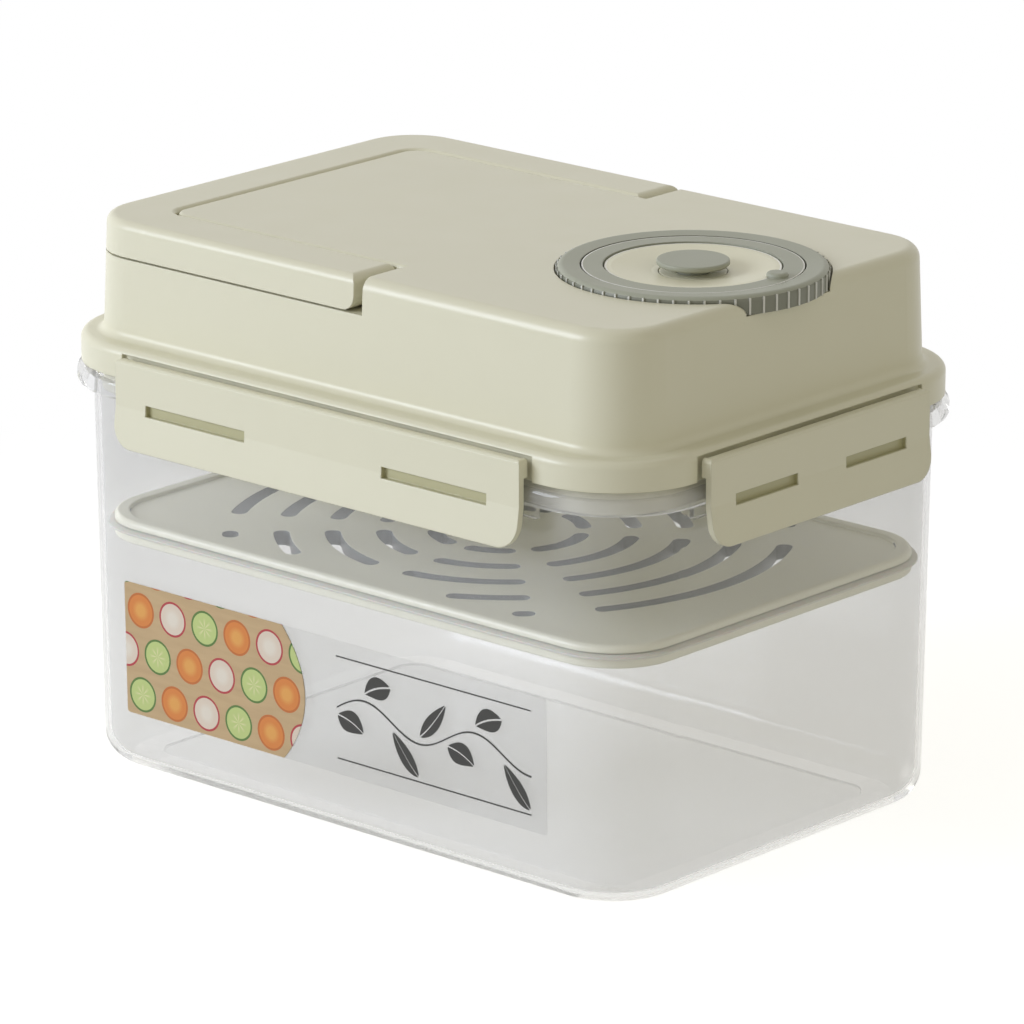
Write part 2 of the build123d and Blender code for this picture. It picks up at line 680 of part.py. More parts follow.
# Soft lip in the groove, which reaches to the wall of the box
lip_outline = grown(box_outline((groove_top_z + groove_bottom_z) / 2), -box_wall - seal_wall_gap)
with BuildPart() as press_plate_seal:
    with BuildSketch(Plane.XY.offset(groove_bottom_z + seal_groove_gap)):
        RectangleRounded(*lip_outline)
        RectangleRounded(*grown(plate_outline, seal_groove_gap - seal_groove_depth), mode=Mode.SUBTRACT)
    extrude(amount=seal_groove_height - 2 * seal_groove_gap)
save(press_plate_seal, "press_plate_seal")

# Date dial: an outer ring, an inner ring that holds it down, and a disc that holds the inner ring down
dial_axis = Axis((dial_x, 0, 0), (0, 0, 1))
dial_section = Plane(origin=(dial_x, 0, 0), x_dir=(1, 0, 0), z_dir=(0, -1, 0))
dial_top_z = dome_top_z + dial_proud
ring_bottom_z = dial_well_floor_z + dial_seat_gap
ring_flange_z = ring_bottom_z + dial_flange
outer_ring_bore = dial_radius - outer_ring_width
inner_ring_radius = outer_ring_bore - dial_ring_gap
inner_ring_bore = inner_ring_radius - inner_ring_width
inner_ring_bottom_z = ring_flange_z + dial_flange_gap
inner_ring_flange_z = inner_ring_bottom_z + dial_flange
inner_ring_top_z = dial_top_z - inner_ring_sink
disc_radius = inner_ring_bore - dial_ring_gap
disc_top_z = dial_top_z - disc_sink
disc_cap_z = inner_ring_flange_z + dial_flange_gap
hub_radius = inner_ring_bore - inner_ring_flange_reach - dial_ring_gap


def turned_section(points):
    """Return a face from a closed outline of (radius, height) points beside the dial's axis."""
    with BuildSketch(dial_section) as section:
        with BuildLine():
            Polyline(*points, close=True)
        make_face()
    return section.sketch


outer_ring_section = turned_section([
    (outer_ring_bore - outer_ring_flange_reach, ring_bottom_z),
    (dial_radius, ring_bottom_z),
    (dial_radius, dial_top_z),
    (outer_ring_bore, dial_top_z - outer_ring_slope),
    (outer_ring_bore, ring_flange_z),
    (outer_ring_bore - outer_ring_flange_reach, ring_flange_z),
])
with BuildPart() as dial_outer_ring:
    revolve(outer_ring_section, axis=dial_axis)
    fillet(dial_outer_ring.edges().filter_by(GeomType.CIRCLE).sort_by(Axis.Z)[-1], radius=outer_ring_fillet)
    # Thin upright grip ribs round the outside
    rib_height = dial_top_z - ring_bottom_z - outer_ring_fillet / 2
    with BuildSketch(Plane.XY.offset(ring_bottom_z)):
        with Locations((dial_x, 0)):
            with PolarLocations(dial_radius, outer_ring_rib_count):
                Rectangle(2 * outer_ring_rib_rise, outer_ring_rib_width)
    extrude(amount=rib_height)
save(dial_outer_ring, "dial_outer_ring")

inner_ring_section = turned_section([
    (inner_ring_bore - inner_ring_flange_reach, inner_ring_bottom_z),
    (inner_ring_radius, inner_ring_bottom_z),
    (inner_ring_radius, inner_ring_top_z),
    (inner_ring_bore, inner_ring_top_z),
    (inner_ring_bore, inner_ring_flange_z),
    (inner_ring_bore - inner_ring_flange_reach, inner_ring_flange_z),
])
with BuildPart() as dial_inner_ring:
    revolve(inner_ring_section, axis=dial_axis)
    # Finger nub that points at the date
    with BuildSketch(Plane.XY.offset(inner_ring_top_z)):
        with Locations((dial_x, 0)):
            with PolarLocations(inner_ring_bore - nub_overhang + nub_length / 2, 1, start_angle=nub_angle):
                SlotOverall(nub_length, nub_width)
    extrude(amount=nub_rise)
    fillet(dial_inner_ring.faces().sort_by(Axis.Z)[-1].edges(), radius=nub_fillet_share * nub_rise)
save(dial_inner_ring, "dial_inner_ring")

dish_floor_z = disc_top_z - disc_dish
bowl_floor_z = dish_floor_z - housing_flange
housing_flange_radius = button_radius - housing_flange_gap
disc_bowl_radius = housing_flange_radius + disc_bowl_gap
disc_dish_radius = disc_bowl_radius + disc_dish_flat
housing_pocket_radius = housing_radius - housing_wall
disc_section = turned_section([
    (housing_radius + housing_fit_gap, dial_well_floor_z),
    (hub_radius, dial_well_floor_z),
    (hub_radius, disc_cap_z),
    (disc_radius, disc_cap_z),
    (disc_radius, disc_top_z),
    (disc_radius - disc_border, disc_top_z),
    (disc_dish_radius, dish_floor_z),
    (disc_bowl_radius, dish_floor_z),
    (disc_bowl_radius, bowl_floor_z),
    (housing_radius + housing_fit_gap, bowl_floor_z),
])
with BuildPart() as dial_disc:
    revolve(disc_section, axis=dial_axis)
save(dial_disc, "dial_disc")

# Valve housing: a tube through the disc and the lid, its flange flush with the dish, held by a nut
# over a soft washer
housing_bottom_z = dish_floor_z - housing_length
pocket_floor_z = housing_bottom_z + housing_end_wall
housing_section = turned_section([
    (stem_radius + stem_running_gap, housing_bottom_z),
    (housing_radius, housing_bottom_z),
    (housing_radius, bowl_floor_z),
    (housing_flange_radius, bowl_floor_z),
    (housing_flange_radius, dish_floor_z),
    (housing_pocket_radius, dish_floor_z),
    (housing_pocket_radius, pocket_floor_z),
    (stem_radius + stem_running_gap, pocket_floor_z),
])
with BuildPart() as valve_housing:
    revolve(housing_section, axis=dial_axis)
save(valve_housing, "valve_housing")

washer_top_z = dial_well_floor_z - lid_wall
with BuildPart() as valve_washer:
    with BuildSketch(Plane.XY.offset(washer_top_z)):
        with Locations((dial_x, 0)):
            Circle(housing_radius + washer_reach)
            Circle(housing_radius + washer_gap, mode=Mode.SUBTRACT)
    extrude(amount=-washer_height)
save(valve_washer, "valve_washer")

with BuildPart() as valve_nut:
    with BuildSketch(Plane.XY.offset(washer_top_z - washer_height)):
        with Locations((dial_x, 0)):
            RegularPolygon(housing_radius + nut_wall, nut_sides)
            Circle(housing_radius + housing_fit_gap, mode=Mode.SUBTRACT)
    extrude(amount=-nut_height)
save(valve_nut, "valve_nut")

# Vent button: a mushroom cap with a boss that covers the spring, on a stem that carries the sealing disc
button_bottom_z = dish_floor_z + button_stop_gap + button_travel
boss_bottom_z = dish_floor_z - button_boss_reach
boss_radius = housing_pocket_radius - button_boss_gap
button_top_z = button_bottom_z + button_height
button_chamfer = button_chamfer_share * button_height
seal_top_z = housing_bottom_z - seal_disc_gap
barb_top_z = seal_top_z - seal_disc
stem_barb_radius = stem_radius + stem_barb_reach
button_section = turned_section([
    (0, barb_top_z - stem_barb),
    (stem_barb_radius - stem_barb / 2, barb_top_z - stem_barb),
    (stem_barb_radius, barb_top_z),
    (stem_radius, barb_top_z),
    (stem_radius, boss_bottom_z),
    (boss_radius, boss_bottom_z),
    (boss_radius, button_bottom_z),
    (button_radius - button_chamfer, button_bottom_z),
    (button_radius, button_bottom_z + button_chamfer),
    (button_radius, button_top_z),
    (0, button_top_z),
])
with BuildPart() as valve_button:
    revolve(button_section, axis=dial_axis)
    fillet(valve_button.faces().sort_by(Axis.Z)[-1].edges(), radius=button_fillet_share * button_height)
save(valve_button, "valve_button")

seal_section = turned_section([
    (stem_radius + stem_running_gap, barb_top_z),
    (seal_disc_radius, barb_top_z + seal_disc / 2),
    (seal_disc_radius, seal_top_z),
    (stem_radius + stem_running_gap, seal_top_z),
])
with BuildPart() as valve_seal:
    revolve(seal_section, axis=dial_axis)
save(valve_seal, "valve_seal")

# Coil spring between the floor of the housing and the boss: each quarter turn is two tangent arcs
spring_bottom_z = pocket_floor_z + spring_end_gap + spring_wire_radius
spring_rise = boss_bottom_z - spring_end_gap - spring_wire_radius - spring_bottom_z
coil_radius = housing_pocket_radius - spring_side_gap - spring_wire_radius
quarter_count = 4 * spring_turns


def coil_point(quarter):
    """Return the point on the spring's helix after a number of quarter turns, and its direction."""
    angle = radians(quarter_turn * quarter)
    rise = spring_rise * quarter / quarter_count
    point = Vector(dial_x + coil_radius * cos(angle), coil_radius * sin(angle), spring_bottom_z + rise)
    climb = spring_rise / quarter_count / radians(quarter_turn)
    return point, Vector(-coil_radius * sin(angle), coil_radius * cos(angle), climb).normalized()


with BuildPart() as valve_spring:
    with BuildLine() as coil:
        for quarter in range(quarter_count):
            start, start_way = coil_point(quarter)
            end, end_way = coil_point(quarter + 1)
            step = end - start
            bend = 1 - start_way.dot(end_way)
            along = step.dot(start_way + end_way)
            reach = (sqrt(along**2 + 2 * bend * step.dot(step)) - along) / (2 * bend)
            middle = (start + start_way * reach + end - end_way * reach) / 2
            middle_way = end - end_way * reach - start - start_way * reach
            TangentArc(start, middle, tangent=start_way)
            TangentArc(middle, end, tangent=middle_way)
    with BuildSketch(Plane(origin=coil_point(0)[0], z_dir=coil_point(0)[1])):
        Circle(spring_wire_radius)
    sweep(path=coil.wire())
save(valve_spring, "valve_spring")

# Least gap of the spring to itself, between points on its wire that lie half a turn or more apart
point_count = spring_turns * spring_points_per_turn
coil_wire = coil.wire()
coil_points = [coil_wire.position_at(index / point_count) for index in range(point_count + 1)]
half_turn_points = spring_points_per_turn // 2
least_gap = min(
    (coil_points[low] - coil_points[high]).length
    for low in range(point_count + 1) for high in range(low + half_turn_points, point_count + 1)
) - 2 * spring_wire_radius
print("spring: least gap to itself", round(least_gap, 3))
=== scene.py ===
import logging
import math
from dataclasses import dataclass
from enum import Enum
from functools import cached_property
from typing import Any, Optional, Union

import bmesh
import bpy
from mathutils import Matrix, Vector


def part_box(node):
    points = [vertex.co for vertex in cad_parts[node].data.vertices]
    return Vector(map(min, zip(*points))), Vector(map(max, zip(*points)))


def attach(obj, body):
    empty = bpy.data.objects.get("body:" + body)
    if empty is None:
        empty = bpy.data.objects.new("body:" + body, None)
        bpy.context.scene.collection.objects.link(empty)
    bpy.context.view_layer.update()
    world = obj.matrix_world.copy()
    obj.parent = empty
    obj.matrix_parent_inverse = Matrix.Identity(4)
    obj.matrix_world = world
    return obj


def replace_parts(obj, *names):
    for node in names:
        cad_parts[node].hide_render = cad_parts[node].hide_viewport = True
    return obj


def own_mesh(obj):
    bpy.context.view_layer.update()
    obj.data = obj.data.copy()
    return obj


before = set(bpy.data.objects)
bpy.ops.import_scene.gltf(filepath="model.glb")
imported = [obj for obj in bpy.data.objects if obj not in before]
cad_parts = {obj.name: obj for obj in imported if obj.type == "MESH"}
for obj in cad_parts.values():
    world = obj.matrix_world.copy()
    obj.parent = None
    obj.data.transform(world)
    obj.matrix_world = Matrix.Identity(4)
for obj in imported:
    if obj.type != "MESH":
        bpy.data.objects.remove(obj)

LOG = logging.getLogger("fermentation_container")
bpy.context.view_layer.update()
IMAGE_SIZE = 1024
MM = 0.001
MERGE_DISTANCE = 1e-7
EDGE_SAMPLES = 6

Colour = tuple[float, float, float]
Place = tuple[float, float, float]
Paint = Union[Colour, bpy.types.NodeSocket]
WHITE: Colour = (1.0, 1.0, 1.0)


class Slot(Enum):
    """Names of the record's material slots, which no piece in this script takes."""

    CLEAR_SILICONE = "clear_silicone"
    WHITE_SILICONE = "white_silicone"
    SPRING_STEEL = "spring_steel"


class Body(Enum):
    """The bodies that new pieces ride."""

    PRESS = "press"
    LID = "lid"
    VALVE = "valve"


class Side(Enum):
    """A side of the lid, as the axis that it faces along and which way."""

    FRONT = (1, -1)
    RIGHT = (0, 1)
    BACK = (1, 1)
    LEFT = (0, -1)


class Ramp(Enum):
    """How a ramp goes from its start to its end."""

    EVEN = "LINEAR"
    SMOOTH = "SMOOTHSTEP"


class Ray(Enum):
    """Kinds of rays that meet a surface."""

    CAMERA = "Is Camera Ray"
    GLOSSY = "Is Glossy Ray"
    TRANSMISSION = "Is Transmission Ray"
    SHADOW = "Is Shadow Ray"
    DIFFUSE = "Is Diffuse Ray"


class Value:
    """A number that nodes work out at each point of a surface. A mask is 0 or 1 there."""

    def __init__(self, graph: "NodeGraph", socket: bpy.types.NodeSocket) -> None:
        """Hold an output socket.

        Args:
            graph: The node tree that it is in.
            socket: The socket.
        """
        self.graph = graph
        self.socket = socket

    def __add__(self, other: "Number") -> "Value":
        """Return the sum."""
        return self.graph.math("ADD", self, other)

    def __sub__(self, other: "Number") -> "Value":
        """Return this less the other."""
        return self.graph.math("SUBTRACT", self, other)

    def __rsub__(self, other: float) -> "Value":
        """Return a plain number less this."""
        return self.graph.math("SUBTRACT", other, self)

    def __mul__(self, other: "Number") -> "Value":
        """Return the product. For two masks, that is where both hold."""
        return self.graph.math("MULTIPLY", self, other)

    def __truediv__(self, other: "Number") -> "Value":
        """Return the quotient."""
        return self.graph.math("DIVIDE", self, other)

    def __mod__(self, other: float) -> "Value":
        """Return the remainder."""
        return self.graph.math("MODULO", self, other)

    def __abs__(self) -> "Value":
        """Return this without its sign."""
        return self.graph.math("ABSOLUTE", self)

    def __lt__(self, other: "Number") -> "Value":
        """Return the mask of where this is less than the other."""
        return self.graph.math("LESS_THAN", self, other)

    def __gt__(self, other: "Number") -> "Value":
        """Return the mask of where this is greater than the other."""
        return self.graph.math("GREATER_THAN", self, other)

    def __or__(self, other: "Value") -> "Value":
        """Return the mask of where either holds."""
        return self.graph.math("MAXIMUM", self, other)

    def floor(self) -> "Value":
        """Return the whole number below."""
        return self.graph.math("FLOOR", self)

    def fraction(self) -> "Value":
        """Return what is over the whole number below."""
        return self.graph.math("FRACT", self)


Number = Union[float, Value]


class NodeGraph:
    """The node tree of a material or world, with short calls that add and join nodes."""

    def __init__(self, owner: Union[bpy.types.Material, bpy.types.World], output: str) -> None:
        """Start an empty tree with its output.

        Args:
            owner: The material or world.
            output: The output node's Blender type.
        """
        owner.use_nodes = True
        self.owner = owner
        self.tree = owner.node_tree
        self.tree.nodes.clear()
        self.output = self.add(output)

    @classmethod
    def of_material(cls, name: str) -> "NodeGraph":
        """Return the graph of a new material."""
        return cls(bpy.data.materials.new(name), "ShaderNodeOutputMaterial")

    @classmethod
    def of_world(cls, name: str) -> "NodeGraph":
        """Return the graph of a new world."""
        return cls(bpy.data.worlds.new(name), "ShaderNodeOutputWorld")

    @cached_property
    def coordinates(self) -> bpy.types.Node:
        """The node of the piece's own coordinates and normals."""
        return self.add("ShaderNodeTexCoord")

    @property
    def place(self) -> bpy.types.NodeSocket:
        """The place on the piece."""
        return self.coordinates.outputs["Object"]

    def add(self, kind: str, inputs: Optional[dict] = None, **settings: Any) -> bpy.types.Node:
        """Add a node.

        Args:
            kind: The node's Blender type.
            inputs: Values or output sockets for its inputs, by name or index.
            **settings: The node's own properties.

        Returns:
            The new node.
        """
        node = self.tree.nodes.new(kind)
        for key, value in settings.items():
            setattr(node, key, value)
        for key, value in (inputs or {}).items():
            if isinstance(value, Value):
                value = value.socket
            if isinstance(value, bpy.types.NodeSocket):
                self.tree.links.new(value, node.inputs[key])
            elif node.inputs[key].type == "RGBA":
                node.inputs[key].default_value = (*value, 1.0)
            else:
                node.inputs[key].default_value = value
        return node

    def math(self, operation: str, *values: Number) -> Value:
        """Add a Math node.

        Args:
            operation: The operation, as Blender names it.
            *values: Plain numbers or values.

        Returns:
            Its result.
        """
        node = self.add("ShaderNodeMath", dict(enumerate(values)), operation=operation)
        return Value(self, node.outputs[0])

    def parts(self, vector: bpy.types.NodeSocket) -> tuple[Value, ...]:
        """Return a vector's parts along the three axes."""
        node = self.add("ShaderNodeSeparateXYZ", {0: vector})
        return tuple(Value(self, part) for part in node.outputs)

    def radius(self, across: Value, along: Value) -> Value:
        """Return the distance from a point, of which the two parts are given."""
        return self.math("SQRT", across * across + along * along)

    def upright(self, slope: float) -> Value:
        """Return the mask of upright faces, whose normals rise or fall less than a slope."""
        return abs(self.parts(self.coordinates.outputs["Normal"])[2]) < slope

    def rays(self, first: Ray, *others: Ray) -> Value:
        """Tell rays of some kinds from the rest.

        Args:
            first: A kind of ray.
            *others: More kinds.

        Returns:
            The mask of rays of any of these kinds.
        """
        path = self.add("ShaderNodeLightPath")
        mask = Value(self, path.outputs[first.value])
        for kind in others:
            mask = mask | Value(self, path.outputs[kind.value])
        return mask

    def mix(self, share: Value, first: Paint, second: Paint) -> bpy.types.NodeSocket:
        """Mix two colours.

        Args:
            share: How much of the second colour shows.
            first: A colour or socket.
            second: A colour or socket.

        Returns:
            The mixed colour.
        """
        node = self.add("ShaderNodeMix", {0: share, 6: first, 7: second}, data_type="RGBA")
        return node.outputs[2]

    def noise(self, scale: float, detail: float = 2.0,
              place: Optional[bpy.types.NodeSocket] = None) -> Value:
        """Add noise over the piece's own coordinates.

        Args:
            scale: Waves per metre.
            detail: Octaves.
            place: A socket with other coordinates.

        Returns:
            The noise, from 0 to 1.
        """
        inputs = {"Vector": place or self.place, "Scale": scale, "Detail": detail}
        return Value(self, self.add("ShaderNodeTexNoise", inputs).outputs[0])

    def ramp(self, value: Value, low: float, high: float, start: float = 0.0, end: float = 1.0,
             way: Ramp = Ramp.EVEN) -> Value:
        """Map a value's range onto another one, clamped.

        Args:
            value: The value to map.
            low: The result at start.
            high: The result at end.
            start: The value that gives low.
            end: The value that gives high.
            way: How it goes from one to the other.

        Returns:
            The mapped value.
        """
        inputs = {"Value": value, "From Min": start, "From Max": end, "To Min": low, "To Max": high}
        node = self.add("ShaderNodeMapRange", inputs, interpolation_type=way.value)
        return Value(self, node.outputs[0])

    def uneven(self, middle: float, spread: float, scale: float) -> Value:
        """Return a value that wavers about its middle over the surface.

        Args:
            middle: The middle value.
            spread: How far it goes to either side.
            scale: Waves per metre.

        Returns:
            The value.
        """
        return self.ramp(self.noise(scale), middle - spread, middle + spread)

    def rounded_normal(self, radius: float, height: Value, strength: float,
                       depth: float) -> bpy.types.NodeSocket:
        """Soften the edges and add a surface grain.

        Args:
            radius: How far an edge is rounded, in metres.
            height: The grain's height.
            strength: The grain's share.
            depth: The grain's depth, in metres.

        Returns:
            The normal.
        """
        edge = self.add("ShaderNodeBevel", {"Radius": radius}, samples=EDGE_SAMPLES).outputs[0]
        inputs = {"Strength": strength, "Distance": depth, "Height": height, "Normal": edge}
        return self.add("ShaderNodeBump", inputs).outputs[0]

    def principled(self, inputs: dict) -> bpy.types.NodeSocket:
        """Return a Principled shader with the given inputs."""
        return self.add("ShaderNodeBsdfPrincipled", inputs).outputs[0]

    def blend(self, share: Value, first: bpy.types.NodeSocket,
              second: bpy.types.NodeSocket) -> bpy.types.NodeSocket:
        """Mix two shaders.

        Args:
            share: How much of the second one shows.
            first: A shader.
            second: A shader.

        Returns:
            The mixed shader.
        """
        return self.add("ShaderNodeMixShader", {0: share, 1: first, 2: second}).outputs[0]

    def finish(self, shader: bpy.types.NodeSocket) -> Union[bpy.types.Material, bpy.types.World]:
        """Join a shader to the output and return the material or world."""
        self.tree.links.new(shader, self.output.inputs["Surface"])
        return self.owner


def toned(colour: Colour, factor: float) -> Colour:
    """Return a colour made lighter or darker by a factor."""
    return tuple(min(1.0, part * factor) for part in colour)


@dataclass(frozen=True)
class MouldedPlastic:
    """An opaque satin plastic, with the faint tone, shine and grain of a moulding."""

    name: str
    colour: Colour
    roughness: float = 0.42
    index: float = 1.5
    tone_spread: float = 0.015
    tone_scale: float = 26.0
    tone_detail: float = 3.0
    shine_spread: float = 0.05
    shine_scale: float = 70.0
    grain_scale: float = 1500.0
    grain_depth: float = 0.04 * MM
    grain_strength: float = 0.25
    edge_radius: float = 0.45 * MM

    def paint(self, graph: NodeGraph) -> bpy.types.NodeSocket:
        """Return the colour, with the faint unevenness of a moulding.

        Args:
            graph: The material's nodes.

        Returns:
            The colour socket.
        """
        tone = graph.noise(self.tone_scale, self.tone_detail)
        darker = toned(self.colour, 1 - self.tone_spread)
        lighter = toned(self.colour, 1 + self.tone_spread)
        return graph.mix(tone, darker, lighter)

    def make(self) -> bpy.types.Material:
        """Put the colour, shine and grain together.

        Returns:
            The material.
        """
        graph = NodeGraph.of_material(self.name)
        grain = graph.noise(self.grain_scale)
        return graph.finish(graph.principled({
            "Base Color": self.paint(graph),
            "Roughness": graph.uneven(self.roughness, self.shine_spread, self.shine_scale),
            "Normal": graph.rounded_normal(self.edge_radius, grain, self.grain_strength,
                                           self.grain_depth),
            "IOR": self.index,
        }))


@dataclass(frozen=True, kw_only=True)
class BandedPlastic(MouldedPlastic):
    """A moulded plastic of the dial, with a band of another tone from one radius to another, and
    painted shade on its upright sides when a side shade is given. The band is the ribs' lighter
    tone on the grip ring and a painted highlight on the pointer ring and the disc.
    """

    center: tuple[float, float]
    band: tuple[float, float]
    band_colour: Colour
    blur: float = 0.06 * MM
    # Painted shade for upright sides.
    side_shade_colour: Optional[Colour] = None
    side_slope: float = 0.5

    def paint(self, graph: NodeGraph) -> bpy.types.NodeSocket:
        """Return the plain colour, with the painted shade of the upright sides and the band over
        it.

        Args:
            graph: The material's nodes.

        Returns:
            The colour socket.
        """
        plain = super().paint(graph)
        if self.side_shade_colour:
            plain = graph.mix(graph.upright(self.side_slope), plain, self.side_shade_colour)
        across, along, _ = graph.parts(graph.place)
        radius = graph.radius(across - self.center[0], along - self.center[1])
        start, stop = self.band
        inside = graph.ramp(radius, 0.0, 1.0, start - self.blur, start + self.blur)
        outside = graph.ramp(radius, 1.0, 0.0, stop - self.blur, stop + self.blur)
        return graph.mix(inside * outside, plain, self.band_colour)


@dataclass(frozen=True, kw_only=True)
class SlottedPlastic(MouldedPlastic):
    """A moulded plastic of a slotted plate, with painted shade on the walls of its slots."""

    low: Vector
    high: Vector
    margin: float = 8.0 * MM
    # Painted shade for the walls of the slots, not the plastic's own colour.
    slot_shade_colour: Colour = (0.13, 0.145, 0.145)
    wall_slope: float = 0.6

    def paint(self, graph: NodeGraph) -> bpy.types.NodeSocket:
        """Return the plain colour, with painted shade on the walls of the slots.

        Args:
            graph: The material's nodes.

        Returns:
            The colour socket.
        """
        plain = super().paint(graph)
        wall = graph.upright(self.wall_slope)
        place = graph.parts(graph.place)
        middle, half = (self.low + self.high) / 2, (self.high - self.low) / 2
        for axis in (0, 1):
            wall = wall * (abs(place[axis] - middle[axis]) < half[axis] - self.margin)
        return graph.mix(wall, plain, self.slot_shade_colour)


@dataclass(frozen=True, kw_only=True)
class RecessedPlastic(MouldedPlastic):
    """A moulded plastic of a latch, with painted shade inside its blind slots, darker than its
    face.
    """

    low: Vector
    high: Vector
    side: Side
    depth: tuple[float, float] = (2.2 * MM, 3.5 * MM)
    rise: tuple[float, float] = (10.9 * MM, 14.7 * MM)
    end: float = 4.0 * MM
    # Painted shade inside the blind slots, darker than the face.
    slot_shade_colour: Colour = (0.47, 0.45, 0.27)

    def paint(self, graph: NodeGraph) -> bpy.types.NodeSocket:
        """Return the plain colour, with painted shade in the slots.

        Args:
            graph: The material's nodes.

        Returns:
            The colour socket.
        """
        plain = super().paint(graph)
        place = graph.parts(graph.place)
        across, outward = self.side.value
        along = 1 - across
        face = self.high[across] if outward > 0 else self.low[across]
        behind = (face - place[across]) * outward
        above = place[2] - self.low.z
        middle, half = (self.low + self.high) / 2, (self.high - self.low) / 2
        slot = abs(place[along] - middle[along]) < half[along] - self.end
        for value, (start, stop) in ((behind, self.depth), (above, self.rise)):
            slot = slot * (value > start) * (value < stop)
        return graph.mix(slot, plain, self.slot_shade_colour)


@dataclass(frozen=True)
class ClearPlastic:
    """A clear, faintly milky plastic that lets lamp light through to what it holds."""

    name: str
    tint: Colour = (0.85, 0.85, 0.85)
    haze: float = 0.12
    shadow_tint: Colour = (0.99, 0.99, 0.99)
    roughness: float = 0.06
    shine_spread: float = 0.02
    shine_scale: float = 40.0
    flow_scale: float = 14.0
    flow_depth: float = 0.6 * MM
    flow_strength: float = 0.04
    edge_radius: float = 0.5 * MM
    index: float = 1.04
    coat: float = 0.5
    coat_roughness: float = 0.08

    def make(self) -> bpy.types.Material:
        """Put the clear shader together with a way through for lamp light.

        Returns:
            The material.
        """
        graph = NodeGraph.of_material(self.name)
        flow = graph.noise(self.flow_scale)
        normal = graph.rounded_normal(self.edge_radius, flow, self.flow_strength, self.flow_depth)
        clear = graph.principled({
            "Base Color": self.tint,
            "Roughness": graph.uneven(self.roughness, self.shine_spread, self.shine_scale),
            "Normal": normal, "IOR": self.index, "Transmission Weight": 1.0 - self.haze,
            "Coat Weight": self.coat, "Coat Roughness": self.coat_roughness, "Coat Normal": normal,
        })
        passing = graph.add("ShaderNodeBsdfTransparent", {"Color": self.shadow_tint}).outputs[0]
        return graph.finish(graph.blend(graph.rays(Ray.SHADOW, Ray.DIFFUSE), clear, passing))


@dataclass(frozen=True)
class Silicone:
    """A soft rubber with a dull skin, which light enters a little way."""

    name: str
    colour: Colour
    roughness: float = 0.5
    index: float = 1.41
    depth: float = 1.5 * MM
    softness: float = 0.35
    tones: tuple[float, float] = (0.97, 1.02)
    tone_scale: float = 60.0
    tone_detail: float = 3.0
    shine_spread: float = 0.06
    shine_scale: float = 120.0
    grain_scale: float = 900.0
    grain_depth: float = 0.03 * MM
    grain_strength: float = 0.2
    edge_radius: float = 0.2 * MM

    def make(self) -> bpy.types.Material:
        """Put the tone, shine, grain and soft inside together.

        Returns:
            The material.
        """
        graph = NodeGraph.of_material(self.name)
        tone = graph.noise(self.tone_scale, self.tone_detail)
        grain = graph.noise(self.grain_scale)
        return graph.finish(graph.principled({
            "Base Color": graph.mix(tone, *(toned(self.colour, factor) for factor in self.tones)),
            "Roughness": graph.uneven(self.roughness, self.shine_spread, self.shine_scale),
            "Normal": graph.rounded_normal(self.edge_radius, grain, self.grain_strength,
                                           self.grain_depth),
            "IOR": self.index, "Subsurface Weight": self.softness, "Subsurface Scale": self.depth,
        }))


@dataclass(frozen=True)
class SpringWire:
    """Bright drawn wire."""

    name: str
    colour: Colour = (0.62, 0.63, 0.65)
    dark_tone: float = 0.93
    shine: tuple[float, float] = (0.2, 0.38)
    drawn_scale: float = 2400.0
    drawn_detail: float = 3.0

    def make(self) -> bpy.types.Material:
        """Put the drawn tone and shine together.

        Returns:
            The material.
        """
        graph = NodeGraph.of_material(self.name)
        drawn = graph.noise(self.drawn_scale, self.drawn_detail)
        return graph.finish(graph.principled({
            "Base Color": graph.mix(drawn, toned(self.colour, self.dark_tone), self.colour),
            "Roughness": graph.ramp(drawn, *self.shine), "Metallic": 1.0,
        }))


@dataclass(frozen=True)
class PrintedSlice:
    """The colours of a printed vegetable slice."""

    flesh: Colour
    heart: Colour
    peel: Colour
    seeded: bool = False


